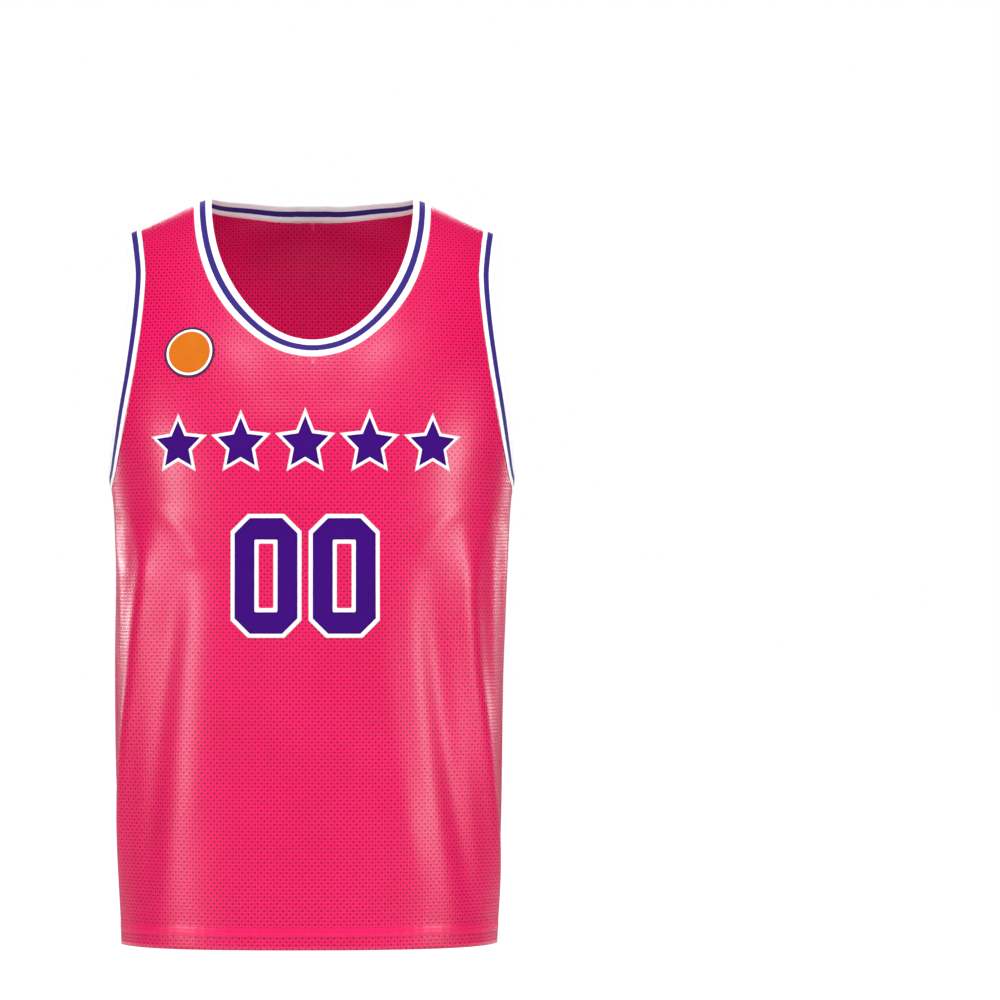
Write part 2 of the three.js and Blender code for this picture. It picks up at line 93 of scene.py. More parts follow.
# Large folds of the solids: turn and drop at the start and the end, bend, width, height
FOLDS = [
    (-32, 360, -44, 620, 1, 22, 1.2),
    (-46, 340, -63, 700, 0, 17, -3.4),
    (-58, 325, -80, 712, -1, 15, 4.4),
    (-68, 470, -84, 712, 0, 13, 2.2),
    (-80, 360, -96, 640, 2, 13, -3),
    (-12, 430, -20, 723, 0, 30, -1.5),
    (21, 370, 36, 660, -2, 20, 2.2),
    (41, 350, 62, 706, -3, 17, -4),
    (54, 325, 82, 712, -4, 14, 4.4),
    (64, 470, 84, 712, -1, 13, 2.2),
    (72, 312, 94, 640, -2, 13, -3),
    (8, 450, 12, 723, 0, 26, 1.5),
    (102, 330, 98, 723, 2, 18, 4.5),
    (116, 320, 108, 640, 0, 16, -4),
    (143, 420, 120, 708, 5, 18, 5.5),
    (151, 435, 141, 660, 2, 15, -3.5),
    (172, 440, 169, 723, 0, 27, 2.5),
    (120, 290, 130, 395, -3, 14, -2.5),
    (-103, 320, -99, 723, 0, 18, 4.5),
    (-114, 320, -109, 650, -2, 16, -3.5),
    (-142, 425, -118, 708, -4, 19, 5.5),
    (-152, 450, -143, 680, -1, 15, -3),
    (-134, 285, -130, 420, 1, 13, -2.5),
]

# Smaller creases, kept to the look: the same columns as the large folds
FINE_FOLDS = [
    (-66, 300, -60, 372, 2, 10, 0.9),
    (-75, 296, -72, 352, -2, 9, -0.9),
    (-52, 292, -40, 350, 3, 14, 0.9),
    (64, 298, 58, 380, -2, 10, 0.9),
    (75, 294, 75, 360, 2, 9, -0.9),
    (50, 290, 38, 345, -3, 14, 0.8),
    (-12, 560, -15, 723, 0, 22, 0.8),
    (23, 500, 27, 716, 1, 20, -0.7),
    (2, 590, 3, 723, 0, 22, -0.7),
    (-88, 330, -86, 500, 1, 10, -1.0),
    (88, 320, 91, 470, -1, 10, -1.0),
    (-28, 130, -12, 205, 4, 22, -0.8),
    (26, 130, 10, 205, -4, 22, -0.8),
    (-38, 40, -30, 120, 0, 15, 0.7),
    (38, 40, 31, 120, 0, 15, 0.7),
    (124, 300, 112, 380, 3, 12, 1.0),
    (-124, 300, -113, 372, -2, 12, 1.0),
    (160, 500, 156, 723, 0, 18, -1.2),
    (-160, 520, -163, 723, 0, 17, -1.1),
    (130, 540, 118, 700, 2, 13, 1.0),
    (-129, 560, -121, 710, -2, 13, 1.0),
    (178, 560, 180, 723, 0, 20, 0.9),
]

# How folds fade at their ends and ease out at the hem
FOLD_FADE = 0.35
FOLD_OVERRUN = 0.12
HEM_FOLD_MARGIN = 15
HEM_EASE = 0.6
HEM_EASE_DROP = 590

# Numerals, stars and patch
ZEROS = {
    "front": {
        "middle": -7, "drop": 358, "spacing": 76.3, "width": 69.6, "height": 121, "corner": 17,
        "hole_width": 14.3, "hole_height": 62.7,
    },
    "back": {
        "middle": 0, "drop": 282, "spacing": 108.5, "width": 101, "height": 178, "corner": 26,
        "hole_width": 23.6, "hole_height": 96.5,
    },
}
WHITE_EDGE = 4.1
HOLE_CORNER = 1
ZERO_SPACING = 3.2
STAR_SPACING = 2.5
CHEST_STARS = {"count": 5, "middle": -7, "drop": 231, "spacing": 63, "radius": 31}
BACK_STARS = {"count": 5, "middle": 0, "drop": 140, "spacing": 52, "radius": 21}
STAR_POINTS = 5
STAR_WAIST = 0.48
STAR_TOP_SHARE = 0.77
PATCH = {"across": -123, "drop": 143, "radius": 26, "corners": 72}

# Thickness of the cloth and how far each layer stands off the panel
CLOTH = 0.6
TWILL = 0.45
TWILL_FOOT = 0.05
TOP_FOOT = 0.5
BAND_HALF_WALL = 0.85
BAND_MIDDLE = 0.2

# Mesh density
HALF_COLUMNS = 96
NECK_ROWS = 30
ARM_ROWS = {"front": 34, "back": 46}
BODY_ROWS = 122
NECK_CROWDING = 1.6
RUN_SAMPLES = 48
CROWDING_SHARE = 0.6
MOST_CROWDING = 8
CHUNK = 20000

# Steps to either side over which the cloth's directions are read
ACROSS_STEP = 1.5
ROOT_STEP = 0.12


def smooth_step(value):
    clamped = np.clip(value, 0, 1)
    return clamped * clamped * (3 - 2 * clamped)


def read_table(places, values, at):
    """Smooth curve through the rows of a table, at any number of places."""
    slopes = np.diff(values) / np.diff(places)
    middle = (values[2:] - values[:-2]) / (places[2:] - places[:-2])
    row_slopes = np.concatenate([slopes[:1], middle, slopes[-1:]])
    k = np.clip(np.searchsorted(places, at) - 1, 0, len(places) - 2)
    span = places[k + 1] - places[k]
    t = np.clip((at - places[k]) / span, 0, 1)
    from_start = (2 * t**3 - 3 * t**2 + 1) * values[k]
    from_end = (3 * t**2 - 2 * t**3) * values[k + 1]
    start_slope = (t**3 - 2 * t**2 + t) * span * row_slopes[k]
    end_slope = (t**3 - t**2) * span * row_slopes[k + 1]
    return from_start + from_end + start_slope + end_slope


def level_value(column, root):
    return read_table(np.sqrt(LEVELS[:, 0]), LEVELS[:, column], np.abs(root))


def shoulder_height(reach):
    return read_table(SHOULDER_LINE[:, 0], SHOULDER_LINE[:, 1], reach)


def armhole_angle(face, drop):
    places = np.sqrt(UNDERARM_DROP - ARMHOLE_SEAM[:, 0])
    values = ARMHOLE_SEAM[:, 1 if face == "front" else 2]
    return np.radians(read_table(places, values, np.sqrt(UNDERARM_DROP - drop)))


RUN_ANGLES = np.linspace(0, math.pi / 2, RUN_SAMPLES + 1)
RUN_SINE = np.sin(RUN_ANGLES) ** (2 / LEVEL_SQUARENESS)
RUN_COSINE = np.clip(np.cos(RUN_ANGLES), 0, 1) ** (2 / LEVEL_SQUARENESS)


def level_runs(right, root):
    """Each level from the middle of its face to the side seam: x, y, z and distance along it."""
    half_width = np.where(right, level_value(RIGHT, root), level_value(LEFT, root))
    reach = np.where(root < 0, level_value(FRONT_REACH, root), level_value(BACK_REACH, root))
    drop = root**2
    levelling = 1 - smooth_step(drop / LEVELLING_DROP)
    x = half_width[:, None] * RUN_SINE
    y = reach[:, None] * RUN_COSINE
    z = shoulder_height(x) * levelling[:, None] - drop[:, None]
    steps = np.sqrt(np.diff(x) ** 2 + np.diff(y) ** 2 + np.diff(z) ** 2)
    along = np.concatenate([np.zeros((len(root), 1)), np.cumsum(steps, axis=1)], axis=1)
    return half_width, reach, {"x": x, "y": y, "z": z, "along": along}


def read_run(run, column, value, wanted):
    places = run[column]
    places = np.broadcast_to(places, run["along"].shape)
    k = np.sum(places[:, 1:-1] < value[:, None], axis=1)
    rows = np.arange(len(value))
    start = places[rows, k]
    t = (value - start) / (places[rows, k + 1] - start)
    found = [run[name] for name in wanted]
    return [values[rows, k] * (1 - t) + values[rows, k + 1] * t for values in found]


# Length of half a level on each face and side, by root
QUARTER_ROOTS = np.linspace(0.001, math.sqrt(HEM_DROP) + 1, 1500)
QUARTERS = {}
for face_sign in (-1, 1):
    for is_right in (True, False):
        sides = np.full(QUARTER_ROOTS.shape, is_right)
        runs = level_runs(sides, QUARTER_ROOTS * face_sign)[2]
        QUARTERS[face_sign, is_right] = runs["along"][:, -1]


def quarter_length(right, root):
    lengths = [
        np.where(
            right,
            np.interp(np.abs(root), QUARTER_ROOTS, QUARTERS[face_sign, True]),
            np.interp(np.abs(root), QUARTER_ROOTS, QUARTERS[face_sign, False]),
        )
        for face_sign in (-1, 1)
    ]
    return np.where(root < 0, lengths[0], lengths[1])


def fold_height(turn, drop, per_degree):
    height = np.zeros(len(turn))
    hem_easing = HEM_EASE * smooth_step((drop - HEM_EASE_DROP) / (HEM_DROP - HEM_EASE_DROP))
    for start_turn, start_drop, end_turn, end_drop, bend, width, size in FOLDS + FINE_FOLDS:
        t = (drop - start_drop) / (end_drop - start_drop)
        fade = smooth_step((t + FOLD_OVERRUN) / FOLD_FADE)
        if end_drop > HEM_DROP - HEM_FOLD_MARGIN:
            fade = fade * (1 - hem_easing)
        else:
            fade = fade * smooth_step((1 + FOLD_OVERRUN - t) / FOLD_FADE)
        middle = start_turn + (end_turn - start_turn) * t + bend * 4 * t * (1 - t)
        offset = ((turn - middle + 180) % 360 - 180) * per_degree
        height += size * fade * np.exp(-((offset / width) ** 2))
    return height


def cloth_chunk(across, root):
    right = across < 0
    beyond = np.abs(across) - quarter_length(right, root)
    wraps = beyond > 1e-6
    root = np.where(wraps, -root, root)
    distance = np.where(wraps, quarter_length(right, root) - beyond, np.abs(across))
    half_width, reach, run = level_runs(right, root)
    quarter = run["along"][:, -1]
    x, y, z = read_run(run, "along", np.minimum(distance, quarter), ["x", "y", "z"])
    sign = np.where(right, -1.0, 1.0)
    facing = np.where(root < 0, -1.0, 1.0)
    reach = np.maximum(reach, 1)
    steepness = LEVEL_SQUARENESS - 1
    out_x = sign * (x / half_width) ** steepness / half_width
    out_y = facing * (y / reach) ** steepness / reach
    size = np.hypot(out_x, out_y)
    turn_from_middle = 90 * distance / quarter
    turn = sign * np.where(root < 0, turn_from_middle, 180 - turn_from_middle)
    lift = fold_height(turn, root**2, quarter / 90) / size
    return np.stack([sign * x + out_x * lift, facing * y + out_y * lift, z], axis=1)


def cloth_points(across, root):
    """Places on the cloth as points in space, in millimetres."""
    across, root = np.broadcast_arrays(np.asarray(across, float), np.asarray(root, float))
    shape = across.shape
    across, root = across.ravel(), root.ravel()
    chunks = [
        cloth_chunk(across[k:k + CHUNK], root[k:k + CHUNK]) for k in range(0, len(across), CHUNK)
    ]
    return np.concatenate(chunks).reshape(*shape, 3)


def cloth_frames(across, root):
    """How the cloth runs: sideways, over the body towards the back hem, and outwards."""
    sideways = cloth_points(across + ACROSS_STEP, root) - cloth_points(across - ACROSS_STEP, root)
    over = cloth_points(across, root + ROOT_STEP) - cloth_points(across, root - ROOT_STEP)
    normal = np.cross(sideways, over)
    normal /= np.linalg.norm(normal, axis=-1, keepdims=True)
    return sideways / (2 * ACROSS_STEP), over / (2 * ROOT_STEP), normal


def dot(a, b):
    return np.sum(a * b, axis=-1)


def places_beside(across, root, step):
    """The places that lie a step away from others, measured over the cloth."""
    sideways, over, _ = cloth_frames(across, root)
    a, b, c = dot(sideways, sideways), dot(sideways, over), dot(over, over)
    u, v = dot(step, sideways), dot(step, over)
    spread = a * c - b * b
    return across + (c * u - b * v) / spread, root + (a * v - b * u) / spread


def root_of(face, drop):
    return np.sqrt(drop) * (-1 if face == "front" else 1)


def across_at(face, right, drop, column, value):
    """Distance from the middle of each level to where a column of its run has a value."""
    drop = np.asarray(drop, float)
    run = level_runs(np.full(drop.shape, right), root_of(face, np.maximum(drop, 1e-9)))[2]
    run["angle"] = RUN_ANGLES[None, :]
    return read_run(run, column, np.broadcast_to(np.asarray(value, float), drop.shape), ["along"])[0]


def neck_points(face, line, turn):
    """Reach and drop of a neckline: a turn of 0 is at the shoulder, a right angle in the middle."""
    power = 1 if face == "front" else line["back_power"]
    reach = line["half_width"] * np.clip(np.cos(turn), 0, 1)
    return reach, line[face + "_drop"] * np.sin(turn) ** power


def neck_places(face, sign, line, turn):
    reach, drop = neck_points(face, line, turn)
    return sign * across_at(face, sign < 0, drop, "x", reach), root_of(face, drop)


def armhole_across(face, right, drop):
    return across_at(face, right, drop, "angle", armhole_angle(face, drop))


# Meshes

def add_mesh(name, points, faces, uvs, material):
    """A piece from points in millimetres, with one UV for each point."""
    mesh = bpy.data.meshes.new(name)
    mesh.from_pydata((points * MM).tolist(), [], faces)
    layer = mesh.uv_layers.new(name="Cut")
    corners = np.empty(len(mesh.loops), np.int32)
    mesh.loops.foreach_get("vertex_index", corners)
    layer.data.foreach_set("uv", uvs[corners].astype(np.float32).ravel())
    mesh.polygons.foreach_set("use_smooth", np.ones(len(mesh.polygons), bool))
    mesh.materials.append(material)
    mesh.update()
    piece = bpy.data.objects.new(name, mesh)
    bpy.context.scene.collection.objects.link(piece)
    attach(piece, "root")
    return piece


def grid_faces(rows, closed=False):
    """Quads between neighbouring rows of point numbers."""
    rows = np.asarray(rows)
    below = np.roll(rows, -1, axis=0) if closed else rows[1:]
    above = rows if closed else rows[:-1]
    quads = np.stack([above[:, :-1], below[:, :-1], below[:, 1:], above[:, 1:]], axis=-1)
    return quads.reshape(-1, 4)


def shell(name, across, root, faces, uvs, material, outer, inner):
    """A closed wall of cloth: its outer side at "outer" off the cloth's surface, its inner side at
    "inner", and a rim along every free edge."""
    count = len(across)
    points = cloth_points(across, root)
    normal = cloth_frames(across, root)[2]
    outer = np.broadcast_to(outer, count)[:, None]
    inner = np.broadcast_to(inner, count)[:, None]
    both = np.concatenate([points + normal * outer, points + normal * inner])
    faces = [face[face >= 0] for face in np.asarray(faces)]
    starts = np.concatenate(faces)
    ends = np.concatenate([np.roll(face, -1) for face in faces])
    used = set(zip(starts.tolist(), ends.tolist()))
    rim = [(b, a, a + count, b + count) for a, b in used if (b, a) not in used]
    inner_side = [tuple(face[::-1] + count) for face in faces]
    outer_side = [tuple(face) for face in faces]
    every = [tuple(int(k) for k in face) for face in outer_side + inner_side + rim]
    first = outer_side[len(outer_side) // 2]
    a, b, c = (both[k] for k in first[:3])
    if dot(np.cross(b - a, c - b), normal[first[0]]) < 0:
        every = [face[::-1] for face in every]
    return add_mesh(name, both, every, np.concatenate([uvs, uvs]), material)


# Flat pattern: distance up from the hem along the cloth, at any place

PATTERN_ACROSS = np.linspace(-290, 290, 117)
PATTERN_ROOTS = np.linspace(math.sqrt(HEM_DROP), 0.0005, 240)
PATTERN = {}
for pattern_face, face_sign in (("front", -1), ("back", 1)):
    grid = cloth_points(PATTERN_ACROSS[None, :], face_sign * PATTERN_ROOTS[:, None])
    steps = np.linalg.norm(np.diff(grid, axis=0), axis=-1)
    PATTERN[pattern_face] = np.concatenate([np.zeros((1, steps.shape[1])), np.cumsum(steps, axis=0)])


def pattern_heights(face, across, root):
    column = np.interp(across, PATTERN_ACROSS, np.arange(len(PATTERN_ACROSS)))
    row = np.interp(-np.abs(root), -PATTERN_ROOTS, np.arange(len(PATTERN_ROOTS)))
    c = np.minimum(column.astype(int), len(PATTERN_ACROSS) - 2)
    r = np.minimum(row.astype(int), len(PATTERN_ROOTS) - 2)
    s, t = column - c, row - r
    table = PATTERN[face]
    upper = table[r, c] * (1 - s) + table[r, c + 1] * s
    lower = table[r + 1, c] * (1 - s) + table[r + 1, c + 1] * s
    return upper * (1 - t) + lower * t


# Materials

def linear(code):
    channels = np.array([int(code[k:k + 2], 16) / 255 for k in (1, 3, 5)])
    return tuple(np.where(channels < 0.04045, channels / 12.92, ((channels + 0.055) / 1.055) ** 2.4))


LOOK = "_look"


class Finish:
    """A material and short calls for its nodes."""

    def __init__(self, name, **constants):
        self.material = bpy.data.materials.new(name + LOOK)
        self.material.use_nodes = True
        self.tree = self.material.node_tree
        self.shader = self.tree.nodes["Principled BSDF"]
        for socket, value in constants.items():
            self.shader.inputs[socket.replace("_", " ")].default_value = value

    def add(self, kind, inputs, **settings):
        node = self.tree.nodes.new(kind)
        for key, value in settings.items():
            setattr(node, key, value)
        for key, value in inputs.items():
            self.put(node.inputs[key], value)
        return node

    def put(self, socket, value):
        if isinstance(value, bpy.types.NodeSocket):
            self.tree.links.new(value, socket)
        elif isinstance(value, str):
            socket.default_value = (*linear(value), 1)
        else:
            socket.default_value = value

    def math(self, operation, *values):
        inputs = dict(enumerate(values))
        return self.add("ShaderNodeMath", inputs, operation=operation).outputs[0]

    def band(self, value, start, end, low=0.0, high=1.0):
        """Smoothly from low to high as the value goes from start to end."""
        inputs = {"Value": value, "From Min": start, "From Max": end, "To Min": low, "To Max": high}
        node = self.add("ShaderNodeMapRange", inputs, interpolation_type="SMOOTHSTEP")
        return node.outputs["Result"]

    def mix(self, share, first, second):
        node = self.tree.nodes.new("ShaderNodeMix")
        node.data_type = "RGBA"
        self.put(node.inputs["Factor"], share)
        self.put([s for s in node.inputs if s.name == "A" and s.type == "RGBA"][0], first)
        self.put([s for s in node.inputs if s.name == "B" and s.type == "RGBA"][0], second)
        return [s for s in node.outputs if s.type == "RGBA"][0]

    def noise(self, place, scale, detail=2.0, roughness=0.5):
        inputs = {"Vector": place, "Scale": scale, "Detail": detail, "Roughness": roughness}
        return self.add("ShaderNodeTexNoise", inputs).outputs["Fac"]

    def cut(self):
        """Where a point lies on the flat piece, in millimetres."""
        node = self.add("ShaderNodeUVMap", {}, uv_map="Cut")
        parts = self.add("ShaderNodeSeparateXYZ", {"Vector": node.outputs["UV"]})
        return node.outputs["UV"], parts.outputs["X"], parts.outputs["Y"]

    def lattice(self, u, v, pitch, row, radius, soft, shift=0.0):
        """Round dots in staggered rows, from 0 between them to 1 in their middle."""
        rows = self.math("DIVIDE", v, row)
        stagger = self.math("FRACT", self.math("MULTIPLY", self.math("FLOOR", rows), 0.5))
        columns = self.math("ADD", self.math("ADD", self.math("DIVIDE", u, pitch), stagger), shift)
        a = self.math("MULTIPLY", self.math("SUBTRACT", self.math("FRACT", columns), 0.5), pitch)
        b = self.math("MULTIPLY", self.math("SUBTRACT", self.math("FRACT", rows), 0.5), row)
        squares = self.math("ADD", self.math("MULTIPLY", a, a), self.math("MULTIPLY", b, b))
        reach = self.math("SUBTRACT", self.math("SQRT", squares), radius)
        return self.band(reach, soft, -soft)

    def bump(self, height, distance, strength=1.0):
        inputs = {"Height": height, "Distance": distance, "Strength": strength}
        node = self.add("ShaderNodeBump", inputs)
        self.tree.links.new(node.outputs["Normal"], self.shader.inputs["Normal"])

    def colour(self, value):
        self.put(self.shader.inputs["Base Color"], value)


MESH_LIGHT = "#e80c62"
MESH_DEEP = "#dc0857"
# Painted shade: the holes, the shallow dimples between them and the hem's stitched grooves are darkened
# towards this colour
HOLE_PAINTED_SHADE = "#8c0028"
BAND_WHITE = "#fbfbfd"
BAND_WHITE_SHADE = "#f1f1f4"
BAND_VIOLET = "#33207c"
BAND_VIOLET_DEEP = "#2b1a70"
TWILL_VIOLET = "#3d0678"
TWILL_VIOLET_SHADE = "#330568"
PATCH_ORANGE = "#d0701a"
PATCH_ORANGE_SHADE = "#c46414"
PATCH_RIM = "#2a1d4a"
TWILL_WHITE_SHADE = "#e2e2e8"

# Holes of the mesh, the shallow dimples between them and the loops of the knit, in millimetres
PINHOLE = {"pitch": 6.2, "row": 3.35, "radius": 1.18, "soft": 0.3}
DIMPLE = {"radius_share": 0.8, "soft_share": 1.3, "depth": 0.45}
KNIT_LOOP = {"pitch": 1.03, "row": 0.56, "radius": 0.3, "soft": 0.25}
LEAST_RADIUS = 0.82
MOST_RADIUS = 1.14

# Turned-up hem: heights above its edge, and the depth of each stitched line
HEM_STITCH_HEIGHT = 13.0
HEM_BAND_TOP = 22.0
HEM_LINES = ((HEM_STITCH_HEIGHT, 1.0), (18.4, 0.5), (HEM_BAND_TOP, 0.4))
STITCH_LENGTH = 2.6


def mesh_knit():
    """Knit with staggered rows of small holes, and a turned-up hem with stitched lines."""
    finish = Finish("mesh_knit", Roughness=0.31, Specular_IOR_Level=0.5)
    place, u, v = finish.cut()
    pitch, row, full, soft = PINHOLE.values()
    wander = finish.noise(place, 0.9, detail=1.0)
    radius = finish.band(wander, 0.25, 0.75, full * LEAST_RADIUS, full * MOST_RADIUS)
    holes = finish.lattice(u, v, pitch, row, radius, soft)
    dimple = full * DIMPLE["radius_share"], soft * DIMPLE["soft_share"]
    dimples = finish.lattice(u, v, pitch, row, *dimple, shift=0.5)
    dimples = finish.math("MULTIPLY", dimples, DIMPLE["depth"])

    above = finish.band(v, HEM_BAND_TOP - 0.6, HEM_BAND_TOP + 0.6)
    below = finish.band(v, HEM_STITCH_HEIGHT + 0.2, HEM_STITCH_HEIGHT - 0.6)
    open_mesh = finish.math("MAXIMUM", finish.math("MAXIMUM", above, below), 0.15)
    dots = finish.math("MULTIPLY", finish.math("MAXIMUM", holes, dimples), open_mesh)

    waver = finish.math("SUBTRACT", finish.noise(place, 0.08), 0.5)
    height = finish.math("ADD", v, finish.math("MULTIPLY", waver, 1.2))
    lines = 0.0
    for line, depth in HEM_LINES:
        off = finish.math("ABSOLUTE", finish.math("SUBTRACT", height, line))
        groove = finish.math("MULTIPLY", finish.band(off, 0.75, 0.15), depth)
        lines = finish.math("MAXIMUM", groove, lines)
    stitches = finish.band(finish.math("FRACT", finish.math("DIVIDE", u, STITCH_LENGTH)), 0.0, 0.35, 0.45, 1.0)
    lines = finish.math("MULTIPLY", lines, stitches)

    broad = finish.noise(place, 0.012, detail=3.0)
    grain = finish.noise(place, 1.6, detail=1.0)
    tone = finish.math("ADD", finish.math("MULTIPLY", broad, 0.5), finish.math("MULTIPLY", grain, 0.5))
    cloth = finish.mix(finish.band(tone, 0.35, 0.65), MESH_DEEP, MESH_LIGHT)
    # Painted shade: the colour darkens in the holes, the dimples and the hem's grooves, which the bump below
    # also presses in
    painted_shade = finish.math("MAXIMUM", dots, finish.math("MULTIPLY", lines, 0.6))
    finish.colour(finish.mix(painted_shade, cloth, HOLE_PAINTED_SHADE))

    loops = finish.lattice(u, v, **KNIT_LOOP)
    relief = finish.math("SUBTRACT", finish.math("MULTIPLY", loops, 0.03), dots)
    relief = finish.math("SUBTRACT", relief, finish.math("MULTIPLY", lines, 0.9))
    finish.bump(relief, distance=0.0003, strength=0.3)
    return finish.material


# Ribs in the width of a stripe, width of a loop, and where the seam runs in V of the cut
RIBS = 5
RIB_LOOP = 1.3
BAND_SEAM = 0.22


def striped_knit():
    """Fine rib round the openings. V of the cut is 0 to 1 over the white stripe at the seam, 1 to 2
    over the violet and 2 to 3 over the white stripe at the open edge."""
    finish = Finish(
        "striped_knit",
        Roughness=0.7,
        Specular_IOR_Level=0.2,
        Sheen_Weight=0.05,
        Sheen_Roughness=0.5,
    )
    place, u, v = finish.cut()
    waver = finish.math("MULTIPLY", finish.math("SUBTRACT", finish.noise(place, 0.5), 0.5), 0.09)
    off = finish.math("ABSOLUTE", finish.math("SUBTRACT", finish.math("ADD", v, waver), 1.5))
    violet = finish.band(off, 0.53, 0.47)
    tone = finish.noise(place, 0.06, detail=3.0)
    white = finish.mix(tone, BAND_WHITE_SHADE, BAND_WHITE)
    deep = finish.mix(tone, BAND_VIOLET_DEEP, BAND_VIOLET)
    finish.colour(finish.mix(violet, white, deep))

    rib = finish.math("SINE", finish.math("MULTIPLY", v, 2 * math.pi * RIBS))
    loop = finish.math("SINE", finish.math("MULTIPLY", u, 2 * math.pi / RIB_LOOP))
    knit = finish.math("MULTIPLY", finish.math("ADD", rib, finish.math("MULTIPLY", loop, 0.6)), 0.16)
    seam = finish.band(finish.math("ABSOLUTE", finish.math("SUBTRACT", v, BAND_SEAM)), 0.14, 0.0)
    stitches = finish.band(finish.math("FRACT", finish.math("DIVIDE", u, STITCH_LENGTH)), 0.0, 0.4, 0.35, 1.0)
    seam = finish.math("MULTIPLY", seam, stitches)
    finish.bump(finish.math("SUBTRACT", knit, finish.math("MULTIPLY", seam, 0.8)), 0.0005, 0.7)
    return finish.material


# Spacing of the twill's diagonals in metres, and the stitches along an edge in millimetres
WEAVE_PITCH = 0.0011
EDGE_STITCH_LENGTH = 0.9
EDGE_STITCH_MIDDLE = 0.9


def twill(name, light, shade, patch=False):
    """Tackle twill with a zigzag stitch along its edge. U of the cut is the distance along the
    outline and V the distance in from it."""
    finish = Finish(name, Roughness=0.7, Specular_IOR_Level=0.06)
    place, u, v = finish.cut()
    where = finish.add("ShaderNodeTexCoord", {}).outputs["Object"]
    parts = finish.add("ShaderNodeSeparateXYZ", {"Vector": where})
    slant = finish.math("ADD", parts.outputs["X"], parts.outputs["Z"])
    weave = finish.math("SINE", finish.math("MULTIPLY", slant, 2 * math.pi / WEAVE_PITCH))
    tone = finish.noise(where, 40.0, detail=3.0)
    base = finish.mix(tone, shade, light)
    thread = finish.math("SINE", finish.math("MULTIPLY", u, 2 * math.pi / EDGE_STITCH_LENGTH))
    edge = finish.band(finish.math("ABSOLUTE", finish.math("SUBTRACT", v, EDGE_STITCH_MIDDLE)), 0.95, 0.5)
    if patch:
        rim = finish.band(v, 2.7, 2.4)
        ring = finish.band(finish.math("ABSOLUTE", finish.math("SUBTRACT", v, 3.6)), 1.3, 1.05)
        base = finish.mix(ring, base, BAND_WHITE)
        base = finish.mix(rim, base, PATCH_RIM)
    # Painted shade: the colour darkens in the dips between the raised edge stitches
    stitch_painted_shade = finish.math("MULTIPLY", edge, finish.band(thread, 0.2, -0.9))
    finish.colour(finish.mix(finish.math("MULTIPLY", stitch_painted_shade, 0.35), base, shade))
    raised = finish.math("MULTIPLY", edge, finish.math("ADD", finish.math("MULTIPLY", thread, 0.3), 0.5))
    relief = finish.math("ADD", finish.math("MULTIPLY", weave, 0.12), raised)
    finish.bump(relief, distance=0.0004, strength=0.8)
    return finish.material


MESH_KNIT = mesh_knit()
STRIPED_KNIT = striped_knit()
WHITE_TWILL = twill("white_twill", BAND_WHITE, TWILL_WHITE_SHADE)
VIOLET_TWILL = twill("violet_twill", TWILL_VIOLET, TWILL_VIOLET_SHADE)
PATCH_TWILL = twill("patch_twill", PATCH_ORANGE, PATCH_ORANGE_SHADE, patch=True)


# Panels

def crowding(full, cut):
    return np.clip(CROWDING_SHARE * full / np.maximum(cut, 1), 1, MOST_CROWDING)


SEAM_HALF_GAP = 0.05
SEAM_ROLL = 0.5
SEAM_ROLL_WIDTH = 1.6

# Small puckers: a wave along each seam and a weaker one along the hem
PUCKER_HEIGHT = 0.16
SEAM_PUCKER = {"wave": 1.55, "wander": 1.3, "wander_wave": 23, "reach": 9}
HEM_PUCKER = {"share": 0.8, "wave": 1.7, "wander_wave": 19, "middle": 16, "reach": 7}

# The turned-up hem stands off the panel, with a groove along its stitches
HEM_STEP = {"height": 0.35, "top": HEM_BAND_TOP + 1, "width": 3}
HEM_GROOVE = {"depth": 0.3, "width": 1.6}

# Keeps U of the cut above 0
CUT_SHIFT = 400


def panel_rows(face):
    """Neck turn (nan below the neckline) and drop of each row of a panel."""
    turns = math.pi / 2 * np.linspace(0, 1, NECK_ROWS + 1) ** NECK_CROWDING
    drops = neck_points(face, NECK_SEAM, turns)[1]
    arm_share = np.sin(math.pi / 2 * np.arange(1, ARM_ROWS[face] + 1) / ARM_ROWS[face])
    arm = drops[-1] + (UNDERARM_DROP - drops[-1]) * arm_share
    body = UNDERARM_DROP + (HEM_DROP - UNDERARM_DROP) * np.arange(1, BODY_ROWS + 1) / BODY_ROWS
    lower = np.concatenate([arm, body])
    return np.concatenate([turns, np.full(len(lower), np.nan)]), np.concatenate([drops, lower])


def half_panel(face, sign):
    """Places of one half of a panel, and how far each lies from the seam beside it."""
    turns, drops = panel_rows(face)
    drops = np.maximum(drops, 0.0006)
    roots = root_of(face, drops)
    right = np.full(drops.shape, sign < 0)
    full = quarter_length(right, roots)
    inner = np.zeros(len(drops))
    neck = ~np.isnan(turns)
    inner[neck] = np.abs(neck_places(face, sign, NECK_SEAM, turns[neck])[0])
    inner[np.flatnonzero(neck)[-1]] = 0
    outer = full - SEAM_HALF_GAP
    above = drops < UNDERARM_DROP - 0.01
    outer[above] = armhole_across(face, sign < 0, drops[above])
    cut = (full - outer)[:, None]
    share = np.linspace(0, 1, HALF_COLUMNS + 1)[None, :]
    outer_pull = cut * share ** crowding(full[:, None], cut)
    inner_pull = inner[:, None] * (1 - share) ** crowding(full[:, None], inner[:, None])
    across = full[:, None] * share - outer_pull + inner_pull
    seam_off = outer[:, None] - across
    return sign * across, np.broadcast_to(roots[:, None], across.shape), seam_off


